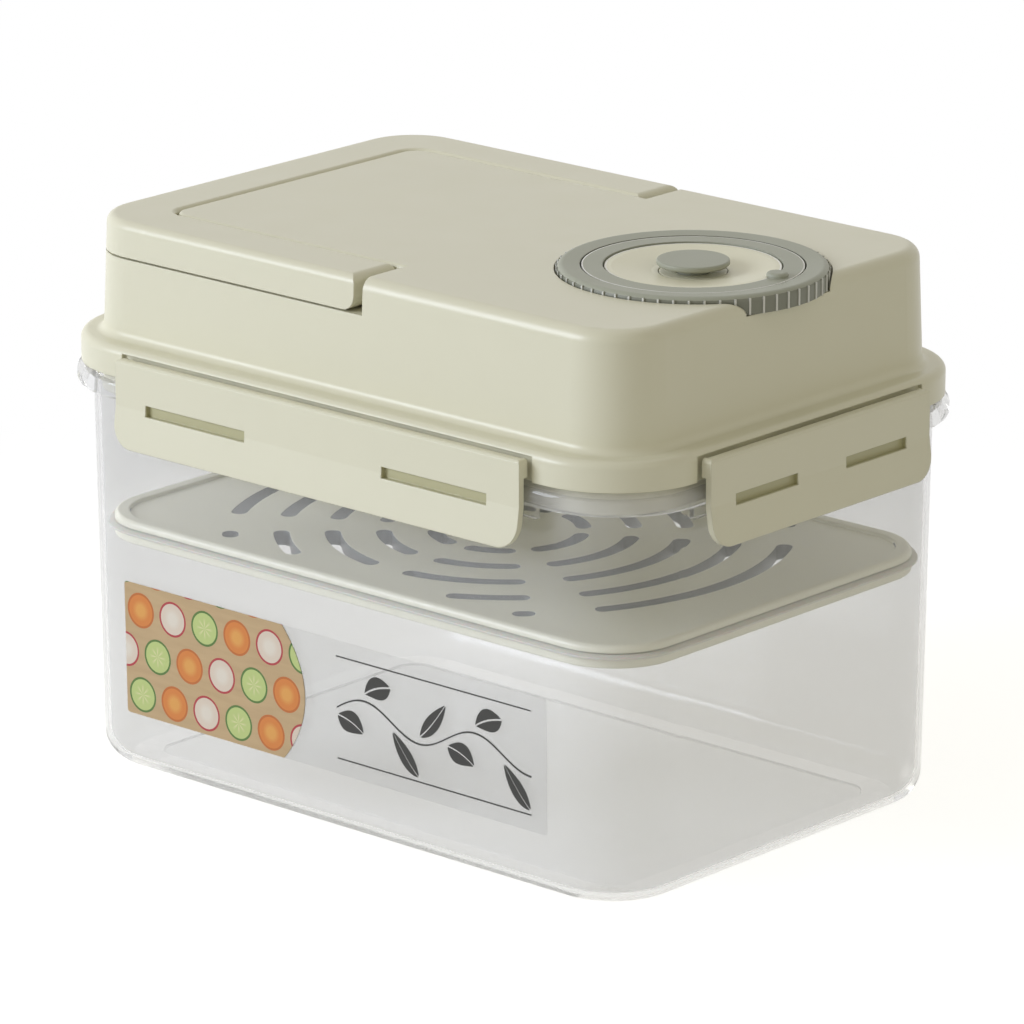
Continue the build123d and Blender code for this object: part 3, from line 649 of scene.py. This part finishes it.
@dataclass(frozen=True)
class PrintedFilm:
    """A clear film with a generic print: a panel of cut vegetable slices and a running vine."""

    name: str
    low: Vector
    high: Vector
    index: float = 1.5
    roughness: float = 0.3
    shine_spread: float = 0.06
    shine_scale: float = 80.0
    haze: float = 0.1
    film: Colour = (0.62, 0.62, 0.6)
    panel_length: float = 66.0 * MM
    panel_bulge: float = 9.0 * MM
    ground: Colour = (0.56, 0.4, 0.22)
    ground_dark: Colour = (0.42, 0.29, 0.15)
    ground_scale: float = 420.0
    ground_detail: float = 4.0
    ground_stretch: Place = (0.12, 1.0, 1.0)
    slices: tuple[PrintedSlice, ...] = (
        PrintedSlice((0.46, 0.55, 0.2), (0.62, 0.62, 0.32), (0.08, 0.17, 0.03), seeded=True),
        PrintedSlice((0.62, 0.2, 0.035), (0.68, 0.32, 0.07), (0.48, 0.13, 0.02)),
        PrintedSlice((0.66, 0.56, 0.46), (0.7, 0.64, 0.55), (0.4, 0.035, 0.045)),
    )
    slice_pitch: float = 13.5 * MM
    slice_radius: float = 5.6 * MM
    slice_peel: float = 0.7 * MM
    slice_heart: tuple[float, float] = (0.3, 0.62)
    slice_row_shift: float = 0.5
    slice_row_step: float = 2.0
    seed_count: float = 8.0
    seed_edge: tuple[float, float] = (0.1, 0.7)
    ink: Colour = (0.022, 0.022, 0.02)
    vine_height_share: float = 0.5
    vine_wave: float = 44.0 * MM
    vine_swing: float = 4.2 * MM
    vine_line: float = 0.5 * MM
    leaves_per_wave: int = 4
    leaf_length: float = 6.6 * MM
    leaf_width: float = 3.0 * MM
    leaf_offset: float = 6.4 * MM
    leaf_angle: float = 38.0
    rule_line: float = 0.35 * MM
    rule_margin: float = 5.0 * MM

    @property
    def leaf_pitch(self) -> float:
        """The length of the vine that each leaf has."""
        return self.vine_wave / self.leaves_per_wave

    def make(self) -> bpy.types.Material:
        """Put the print on the film, which is clear where nothing is printed.

        Returns:
            The material.
        """
        graph = NodeGraph.of_material(self.name)
        place = graph.parts(graph.place)
        along, above = place[0] - self.low.x, place[2] - self.low.z
        half = (self.high.z - self.low.z) / 2
        middle = (above - half) / half
        bulge = middle * middle * -self.panel_bulge
        panel = along < bulge + (self.panel_length + self.panel_bulge)
        inked = self.draw_ink(graph, along, above)
        clear_part = graph.mix(inked, self.film, self.ink)
        return graph.finish(graph.principled({
            "Base Color": graph.mix(panel, clear_part, self.paint_panel(graph, along, above)),
            "Roughness": graph.uneven(self.roughness, self.shine_spread, self.shine_scale),
            "Alpha": graph.ramp(panel | inked, self.haze, 1.0),
            "IOR": self.index,
        }))

    def paint_panel(self, graph: NodeGraph, along: Value, above: Value) -> bpy.types.NodeSocket:
        """Paint the panel: rows of slices on a streaky ground.

        Args:
            graph: The material's nodes.
            along: Distance from the film's left end.
            above: Distance from its lower edge.

        Returns:
            The colour socket.
        """
        row = above / self.slice_pitch
        row_number = row.floor()
        column = along / self.slice_pitch + row_number % 2.0 * self.slice_row_shift
        kind = (column.floor() + row_number * self.slice_row_step) % float(len(self.slices))
        off_x = (column.fraction() - 0.5) * self.slice_pitch
        off_z = (row.fraction() - 0.5) * self.slice_pitch
        radius = graph.radius(off_x, off_z)
        peel = radius > self.slice_radius - self.slice_peel
        inner, outer = self.slice_heart
        heart = graph.ramp(radius, 1.0, 0.0, self.slice_radius * inner, self.slice_radius * outer)
        spokes = graph.math("COSINE", graph.math("ARCTAN2", off_z, off_x) * self.seed_count)
        seeds = graph.ramp(spokes, 0.0, 1.0, *self.seed_edge) * heart
        stretch = {"Vector": graph.place, "Scale": self.ground_stretch}
        streaked = graph.add("ShaderNodeMapping", stretch).outputs[0]
        streaks = graph.noise(self.ground_scale, self.ground_detail, streaked)
        painted = None
        for number, colours in enumerate(self.slices):
            core = graph.mix(seeds if colours.seeded else heart, colours.flesh, colours.heart)
            cut = graph.mix(peel, core, colours.peel)
            painted = cut if painted is None else graph.mix(kind > number - 0.5, painted, cut)
        ground = graph.mix(streaks, self.ground_dark, self.ground)
        return graph.mix(radius < self.slice_radius, ground, painted)

    def draw_ink(self, graph: NodeGraph, along: Value, above: Value) -> Value:
        """Draw the vine and the two rules of the clear part, over a whole number of leaves.

        Args:
            graph: The material's nodes.
            along: Distance from the film's left end.
            above: Distance from its lower edge.

        Returns:
            The mask of the ink.
        """
        height, length = self.high.z - self.low.z, self.high.x - self.low.x
        swing = graph.math("SINE", along * (2 * math.pi / self.vine_wave)) * self.vine_swing
        off = above - height * self.vine_height_share - swing
        stem = abs(off) < self.vine_line / 2
        from_edge = height / 2 - abs(above - height / 2)
        rule = abs(from_edge - self.rule_margin) < self.rule_line / 2
        panel_end = self.panel_length + self.panel_bulge
        start = math.ceil((panel_end + self.rule_margin) / self.leaf_pitch) * self.leaf_pitch
        end = math.floor((length - self.rule_margin) / self.leaf_pitch) * self.leaf_pitch
        return (stem | self.draw_leaf(along, off) | rule) * ((along > start) * (along < end))

    def draw_leaf(self, along: Value, off: Value) -> Value:
        """Draw the leaves, which stand by turns above and below the stem.

        Args:
            along: Distance from the film's left end.
            off: Height over the stem.

        Returns:
            The mask of the leaves, without their veins.
        """
        run = along / self.leaf_pitch
        side = run.floor() % 2.0 * 2.0 - 1.0
        leaf_x = (run.fraction() - 0.5) * self.leaf_pitch
        leaf_z = off * side - self.leaf_offset
        turn = math.radians(self.leaf_angle)
        cosine, sine = math.cos(turn), math.sin(turn)
        share = (leaf_x * cosine + leaf_z * sine) / self.leaf_length
        from_vein = abs(leaf_z * cosine - leaf_x * sine)
        width = (1.0 - share * share) * self.leaf_width
        return (from_vein < width) * (from_vein > self.vine_line / 2)


CREAM = MouldedPlastic("cream plastic", (0.7, 0.68, 0.53), roughness=0.34)
# Painted light: the plate is the same cream as the lid, made lighter to stand in for the light that
# the lid keeps off it inside the box.
PLATE_CREAM_PAINTED_LIGHTER = MouldedPlastic("plate plastic", (0.93, 0.92, 0.77), roughness=0.36)
DISC_CREAM = MouldedPlastic("disc plastic", (0.77, 0.75, 0.58), roughness=0.38)
DIAL_GREY = MouldedPlastic("grey plastic", (0.34, 0.35, 0.28), roughness=0.46)
NUT_WHITE = MouldedPlastic("white plastic", (0.78, 0.78, 0.75))
SEAL_WHITE = Silicone("white silicone", (0.82, 0.82, 0.79))
LIP_CLEAR = Silicone("lip silicone", (0.74, 0.74, 0.68))


def cad_node(name: str) -> bpy.types.Object:
    """Return a CAD node's object."""
    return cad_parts[name]


def new_object(name: str, data: bpy.types.ID) -> bpy.types.Object:
    """Add an object to the scene.

    Args:
        name: Its name.
        data: Its mesh, lamp or camera.

    Returns:
        The new object.
    """
    thing = bpy.data.objects.new(name, data)
    bpy.context.scene.collection.objects.link(thing)
    return thing


def new_piece(name: str, mesh: bmesh.types.BMesh, body: Body) -> bpy.types.Object:
    """Make an object of a finished bmesh, which rides a body.

    Args:
        name: The piece's name.
        mesh: The finished shape, in the row frame. It is freed.
        body: The body that carries the piece.

    Returns:
        The new object.
    """
    bmesh.ops.remove_doubles(mesh, verts=mesh.verts, dist=MERGE_DISTANCE)
    bmesh.ops.recalc_face_normals(mesh, faces=mesh.faces)
    for face in mesh.faces:
        face.smooth = True
    data = bpy.data.meshes.new(name)
    mesh.to_mesh(data)
    mesh.free()
    piece = new_object(name, data)
    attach(piece, body.value)
    return piece


def dress(piece: bpy.types.Object, material: bpy.types.Material) -> None:
    """Give a piece one material and report it.

    Args:
        piece: The CAD node or new piece.
        material: Its finish.
    """
    piece.data.materials.clear()
    piece.data.materials.append(material)
    LOG.info("%s: %s", piece.name, material.name)


def largest_face(mesh: bmesh.types.BMesh) -> bmesh.types.BMFace:
    """Return the face with the largest area."""
    return max(mesh.faces, key=lambda face: face.calc_area())


def rounded_plate(low: Vector, high: Vector, radius: float,
                  segments: int = 14) -> bmesh.types.BMesh:
    """Start a bmesh from a flat rounded rectangle that faces up, at the height of low.

    Args:
        low: Lowest corner of the box that it fills.
        high: Highest corner.
        radius: Radius of its corners.
        segments: Steps in each corner.

    Returns:
        The bmesh, with one face.
    """
    mesh = bmesh.new()
    bmesh.ops.create_grid(mesh, x_segments=1, y_segments=1, size=0.5)
    size = high - low
    bmesh.ops.scale(mesh, verts=mesh.verts, vec=(size.x, size.y, 1.0))
    middle = (low + high) / 2
    bmesh.ops.translate(mesh, verts=mesh.verts, vec=(middle.x, middle.y, low.z))
    bmesh.ops.bevel(mesh, geom=mesh.verts[:], offset=radius, offset_type="OFFSET",
                    affect="VERTICES", segments=segments, profile=0.5, material=-1,
                    clamp_overlap=False)
    return mesh


def turned_ring(points: list[tuple[float, float]], center: Vector,
                steps: int = 64) -> bmesh.types.BMesh:
    """Spin a closed outline round an upright axis.

    Args:
        points: The outline's corners as distance from the axis and height.
        center: A point on the axis.
        steps: Steps in the full turn.

    Returns:
        The bmesh.
    """
    mesh = bmesh.new()
    verts = [mesh.verts.new((center.x + radius, center.y, height)) for radius, height in points]
    edges = [mesh.edges.new((vert, verts[index - 1])) for index, vert in enumerate(verts)]
    bmesh.ops.spin(mesh, geom=verts + edges, cent=center, axis=(0, 0, 1), angle=2 * math.pi,
                   steps=steps, use_merge=True)
    return mesh


def soften(mesh: bmesh.types.BMesh, width: float, segments: int = 3,
           sharpest: float = 35.0) -> None:
    """Bevel the sharp edges of a shape.

    Args:
        mesh: The shape.
        width: Width of the bevel.
        segments: Steps across it.
        sharpest: Edges with a larger angle than this are bevelled, in degrees.
    """
    bmesh.ops.remove_doubles(mesh, verts=mesh.verts, dist=MERGE_DISTANCE)
    edges = [edge for edge in mesh.edges if len(edge.link_faces) == 2
             and edge.calc_face_angle() > math.radians(sharpest)]
    bmesh.ops.bevel(mesh, geom=edges, offset=width, offset_type="OFFSET", affect="EDGES",
                    segments=segments, profile=0.5, material=-1, clamp_overlap=True)


@dataclass
class ClearBox:
    """The clear tapered box and the film on its front wall."""

    plastic: ClearPlastic = ClearPlastic("clear box plastic")

    def build(self) -> None:
        """Dress the box and print the film."""
        dress(cad_node("container_body"), self.plastic.make())
        low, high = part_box("front_label")
        dress(cad_node("front_label"), PrintedFilm("printed label film", low, high).make())


@dataclass
class PressPlate:
    """The slotted plate that presses the food, with its soft lip."""

    plastic: MouldedPlastic = PLATE_CREAM_PAINTED_LIGHTER
    lip_finish: Silicone = LIP_CLEAR
    lip_inset: float = 0.9 * MM
    lip_corner: float = 22.9 * MM
    lip_slope: float = 1.6 * MM
    lip_drop: float = 0.35 * MM
    lip_width: float = 3.6 * MM
    lip_thickness: float = 0.8 * MM
    lip_edge_share: float = 0.25

    def build(self) -> None:
        """Dress the plate and replace its lip."""
        low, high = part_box("press_plate")
        # The plate's lighter cream is painted light, and its slot walls take painted shade.
        finish = SlottedPlastic(self.plastic.name, self.plastic.colour, self.plastic.roughness,
                                low=low, high=high)
        dress(cad_node("press_plate"), finish.make())
        dress(self.make_lip(), self.lip_finish.make())

    def make_lip(self) -> bpy.types.Object:
        """Replace the lip by a skin that slopes down to the wall, with its thickness.

        Returns:
            The new piece.
        """
        low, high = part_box("press_plate_seal")
        inset = Vector((self.lip_inset, self.lip_inset, 0.0))
        mesh = rounded_plate(low + inset, high - inset, self.lip_corner)
        bmesh.ops.inset_region(mesh, faces=mesh.faces[:], thickness=self.lip_slope,
                               depth=self.lip_drop, use_boundary=True, use_even_offset=True)
        bmesh.ops.inset_region(mesh, faces=[largest_face(mesh)], depth=0.0,
                               thickness=self.lip_width - self.lip_slope, use_even_offset=True)
        bmesh.ops.delete(mesh, geom=[largest_face(mesh)], context="FACES")
        bmesh.ops.solidify(mesh, geom=mesh.faces[:], thickness=-self.lip_thickness)
        soften(mesh, self.lip_thickness * self.lip_edge_share)
        lip = new_piece("plate_lip", mesh, Body.PRESS)
        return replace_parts(lip, "press_plate_seal")


@dataclass
class Lid:
    """The domed lid, its handle and pins, its gasket and its four latches."""

    plastic: MouldedPlastic = CREAM
    plain_nodes: tuple[str, ...] = (
        "lid_shell", "carry_handle", "handle_pin_front", "handle_pin_back",
    )
    latches: tuple[tuple[str, Side], ...] = (
        ("front_latch", Side.FRONT), ("right_latch", Side.RIGHT),
        ("back_latch", Side.BACK), ("left_latch", Side.LEFT),
    )
    gasket_finish: Silicone = SEAL_WHITE
    gasket_corner: float = 27.1 * MM
    gasket_width: float = 2.4 * MM
    gasket_groove_wall: float = 0.7 * MM
    gasket_groove_depth: float = 0.9 * MM
    gasket_edge: float = 0.3 * MM
    level_tolerance: float = 0.03 * MM

    def build(self) -> None:
        """Dress the lid's cream pieces and replace its gasket."""
        cream = self.plastic.make()
        for node in self.plain_nodes:
            dress(cad_node(node), cream)
        # Each latch's blind slots take painted shade.
        for node, side in self.latches:
            low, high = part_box(node)
            finish = RecessedPlastic(f"{node} plastic", self.plastic.colour, self.plastic.roughness,
                                     low=low, high=high, side=side)
            dress(cad_node(node), finish.make())
        dress(self.make_gasket(), self.gasket_finish.make())

    def make_gasket(self) -> bpy.types.Object:
        """Replace the gasket by a soft ring with a groove below, for the lip of the box.

        Returns:
            The new piece.
        """
        low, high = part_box("lid_gasket")
        mesh = rounded_plate(low, high, self.gasket_corner)
        bmesh.ops.inset_region(mesh, faces=mesh.faces[:], thickness=self.gasket_width,
                               use_boundary=True, use_even_offset=True)
        bmesh.ops.delete(mesh, geom=[largest_face(mesh)], context="FACES")
        bmesh.ops.reverse_faces(mesh, faces=mesh.faces[:])
        bmesh.ops.solidify(mesh, geom=mesh.faces[:], thickness=high.z - low.z)
        under = [face for face in mesh.faces
                 if abs(face.calc_center_median().z - low.z) < self.level_tolerance]
        bmesh.ops.inset_region(mesh, faces=under, thickness=self.gasket_groove_wall,
                               use_even_offset=True)
        sunk = {vert for face in under for vert in face.verts}
        bmesh.ops.translate(mesh, verts=list(sunk), vec=(0, 0, self.gasket_groove_depth))
        soften(mesh, self.gasket_edge)
        gasket = new_piece("channel_gasket", mesh, Body.LID)
        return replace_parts(gasket, "lid_gasket")


@dataclass
class DialAndValve:
    """The date dial's rings and disc, and the vent valve on the same axis."""

    cream: MouldedPlastic = DISC_CREAM
    grey: MouldedPlastic = DIAL_GREY
    white: MouldedPlastic = NUT_WHITE
    grip_colour: Colour = (0.72, 0.72, 0.68)
    # Painted shade on the grip ring's upright side.
    grip_side_shade_colour: Colour = (0.2, 0.205, 0.16)
    grip_rise: float = 0.28 * MM
    # Painted highlights along the outer edges of the pointer ring and the disc.
    pointer_edge_highlight: Colour = (0.8, 0.8, 0.76)
    pointer_edge_width: float = 0.4 * MM
    disc_edge_highlight: Colour = (0.95, 0.95, 0.9)
    disc_edge_width: float = 0.6 * MM
    soft_finish: Silicone = SEAL_WHITE
    soft_edge: float = 0.35 * MM
    washer_bore: float = 7.1 * MM
    seal_bore: float = 2.28 * MM
    wire_finish: SpringWire = SpringWire("spring wire")
    wire_radius: float = 0.4 * MM
    wire_sides: int = 12
    spring_turns: int = 5
    spring_steps_per_turn: int = 36
    button_travel: float = 1.6 * MM

    def build(self) -> None:
        """Dress the rings and the valve's hard pieces, and replace the soft ones and the spring."""
        # The grip ring's upright side takes painted shade; the pointer ring and the disc take a
        # painted highlight round their outer edges.
        dress(cad_node("dial_outer_ring"),
              self.banded("grip rib plastic", self.grey, "dial_outer_ring", self.grip_colour,
                          self.grip_rise, self.grip_side_shade_colour))
        dress(cad_node("dial_inner_ring"),
              self.banded("pointer ring plastic", self.grey, "dial_inner_ring",
                          self.pointer_edge_highlight, self.pointer_edge_width))
        dress(cad_node("dial_disc"),
              self.banded("edged disc plastic", self.cream, "dial_disc", self.disc_edge_highlight,
                          self.disc_edge_width))
        dress(cad_node("valve_button"), self.grey.make())
        dress(cad_node("valve_housing"), self.cream.make())
        dress(cad_node("valve_nut"), self.white.make())
        soft = self.soft_finish.make()
        dress(self.make_soft_ring("valve_washer", "lid_washer", Body.LID, self.washer_bore), soft)
        dress(self.make_soft_ring("valve_seal", "stem_seal", Body.VALVE, self.seal_bore,
                                  tapered=True), soft)
        dress(self.make_spring(), self.wire_finish.make())

    def banded(self, name: str, base: MouldedPlastic, node: str, colour: Colour, width: float,
               side_shade_colour: Optional[Colour] = None) -> bpy.types.Material:
        """Return a plastic with a band along the outer edge of a round piece.

        Args:
            name: The material's name.
            base: The plain plastic.
            node: The CAD node, whose box gives the centre and the radius.
            colour: The band's colour: the ribs' tone on the grip ring, a painted highlight on the
                pointer ring and the disc.
            width: The band's width.
            side_shade_colour: The painted shade of upright sides, or none.

        Returns:
            The material.
        """
        low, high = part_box(node)
        center = (low + high) / 2
        radius = (high.x - low.x) / 2
        finish = BandedPlastic(name, base.colour, base.roughness, center=(center.x, center.y),
                               band=(radius - width, radius + width), band_colour=colour,
                               side_shade_colour=side_shade_colour)
        return finish.make()

    def make_soft_ring(self, node: str, name: str, body: Body, bore: float,
                       tapered: bool = False) -> bpy.types.Object:
        """Replace a soft CAD ring by one with rounded edges.

        Args:
            node: The CAD node.
            name: The new piece's name.
            body: The body that carries it.
            bore: Radius of its hole.
            tapered: Whether its underside rises to half its height at the outside.

        Returns:
            The new piece.
        """
        low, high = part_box(node)
        center = (low + high) / 2
        radius = (high.x - low.x) / 2
        outside = center.z if tapered else low.z
        points = [(bore, low.z), (radius, outside), (radius, high.z), (bore, high.z)]
        mesh = turned_ring(points, center)
        soften(mesh, self.soft_edge)
        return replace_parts(new_piece(name, mesh, body), node)

    def make_spring(self) -> bpy.types.Object:
        """Replace the spring by a coil with a mesh of its own.

        Returns:
            The new piece.
        """
        low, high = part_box("valve_spring")
        axis = (low + high) / 2
        length = high.z - low.z
        coil_radius = (high.x - low.x) / 2 - self.wire_radius
        rise = length - 2 * self.wire_radius
        steps = self.spring_turns * self.spring_steps_per_turn
        start = Vector((axis.x + coil_radius, axis.y, low.z + self.wire_radius))
        turned = Matrix.Translation(start) @ Matrix.Rotation(math.pi / 2, 4, "X")
        mesh = bmesh.new()
        bmesh.ops.create_circle(mesh, cap_ends=True, segments=self.wire_sides,
                                radius=self.wire_radius, matrix=turned)
        bmesh.ops.spin(mesh, geom=mesh.faces[:], cent=axis, axis=(0, 0, 1), steps=steps,
                       dvec=(0, 0, rise / steps), angle=2 * math.pi * self.spring_turns)
        spring = new_piece("vent_spring", mesh, Body.LID)
        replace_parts(spring, "valve_spring")
        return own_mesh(spring)


@dataclass(frozen=True)
class PhotoCamera:
    """The camera that the photo's edges and silhouettes give."""

    turn: float = 41.78
    lift: float = 16.65
    focal_pixels: float = 6720.0
    target: Place = (0.0, 0.0, 0.0907)
    target_pixel: tuple[float, float] = (509.51, 488.84)
    distance: float = 2.0344
    near_end: float = 0.05
    sensor: float = 36.0

    def build(self) -> None:
        """Put the camera in the scene."""
        data = bpy.data.cameras.new("photo_camera")
        data.sensor_width = self.sensor
        data.lens = self.focal_pixels / IMAGE_SIZE * self.sensor
        data.shift_x = (IMAGE_SIZE / 2 - self.target_pixel[0]) / IMAGE_SIZE
        data.shift_y = (self.target_pixel[1] - IMAGE_SIZE / 2) / IMAGE_SIZE
        data.clip_start = self.near_end
        camera = new_object("photo_camera", data)
        turn, lift = math.radians(self.turn), math.radians(self.lift)
        back = Vector((math.sin(turn) * math.cos(lift), -math.cos(turn) * math.cos(lift),
                       math.sin(lift)))
        camera.location = Vector(self.target) + back * self.distance
        camera.rotation_euler = (-back).to_track_quat("-Z", "Y").to_euler()
        bpy.context.scene.camera = camera


@dataclass(frozen=True)
class SoftLamp:
    """A square area lamp that looks at the object, and may be left out of reflections."""

    name: str
    place: Place
    size: float
    power: float
    colour: Colour
    aim: Place = (0.0, 0.0, 0.1)
    mirrored: bool = True

    def build(self) -> None:
        """Put the lamp in the scene."""
        data = bpy.data.lights.new(self.name, "AREA")
        data.size = self.size
        data.energy = self.power
        data.color = self.colour
        lamp = new_object(self.name, data)
        lamp.location = self.place
        lamp.visible_glossy = self.mirrored
        way = Vector(self.aim) - Vector(self.place)
        lamp.rotation_euler = way.to_track_quat("-Z", "Y").to_euler()


@dataclass
class Studio:
    """A pale floor that fades to white, soft lamps and a white surround."""

    floor_radius: float = 6.0
    floor_steps: int = 96
    floor_colour: Colour = (0.8, 0.8, 0.79)
    floor_roughness: float = 0.9
    floor_lift: float = 0.6
    fade_start: float = 0.08
    fade_end: float = 0.42
    ambient: float = 0.37
    ambient_colour: Colour = (1.0, 0.95, 0.82)
    seen_rays: tuple[Ray, ...] = (Ray.GLOSSY, Ray.TRANSMISSION, Ray.CAMERA)
    lamps: tuple[SoftLamp, ...] = (
        SoftLamp("key_lamp", (-1.0, -1.5, 0.75), 0.9, 21.5, (0.94, 1.0, 1.13)),
        SoftLamp("top_lamp", (-0.2, 0.3, 1.7), 1.2, 2.0, (1.0, 0.99, 0.97)),
        SoftLamp("left_lamp", (-1.8, 0.4, 0.42), 0.9, 10.0, (1.0, 0.98, 0.93), mirrored=False),
        SoftLamp("side_lamp", (1.6, -0.2, 0.7), 1.0, 2.2, (1.0, 0.95, 0.7)),
    )

    def build(self) -> None:
        """Make the floor, the lamps and the world."""
        bpy.context.scene.view_settings.view_transform = "Standard"
        mesh = bmesh.new()
        bmesh.ops.create_circle(mesh, cap_ends=True, segments=self.floor_steps,
                                radius=self.floor_radius)
        data = bpy.data.meshes.new("floor")
        mesh.to_mesh(data)
        mesh.free()
        data.materials.append(self.floor_finish())
        floor = new_object("floor", data)
        for lamp in self.lamps:
            lamp.build()
        bpy.context.scene.world = self.make_world()

    def floor_finish(self) -> bpy.types.Material:
        """Make the floor pale where the shadow falls, and white further out.

        Returns:
            The material.
        """
        graph = NodeGraph.of_material("studio floor")
        across, along, _ = graph.parts(graph.place)
        fade = graph.ramp(graph.radius(across, along), 0.0, 1.0, self.fade_start, self.fade_end,
                          Ramp.SMOOTH)
        seen = graph.rays(*self.seen_rays)
        near = graph.principled({
            "Base Color": self.floor_colour, "Roughness": self.floor_roughness,
            "Specular IOR Level": 0.0, "Emission Color": WHITE,
            "Emission Strength": seen * self.floor_lift,
        })
        far = graph.add("ShaderNodeEmission", {"Color": WHITE, "Strength": 1.0}).outputs[0]
        return graph.finish(graph.blend(fade * seen, near, far))

    def make_world(self) -> bpy.types.World:
        """Make a surround that looks white and lights the object at a plain level.

        Returns:
            The world.
        """
        graph = NodeGraph.of_world("studio")
        soft, white = (
            graph.add("ShaderNodeBackground", {"Color": colour, "Strength": strength}).outputs[0]
            for colour, strength in ((self.ambient_colour, self.ambient), (WHITE, 1.0))
        )
        return graph.finish(graph.blend(graph.rays(*self.seen_rays), soft, white))


def main() -> None:
    """Build the scene, piece by piece."""
    logging.basicConfig(level=logging.INFO, format="%(name)s: %(message)s")
    for part in (PhotoCamera(), Studio(), ClearBox(), PressPlate(), Lid(), DialAndValve()):
        part.build()


if __name__ == "__main__":
    main()
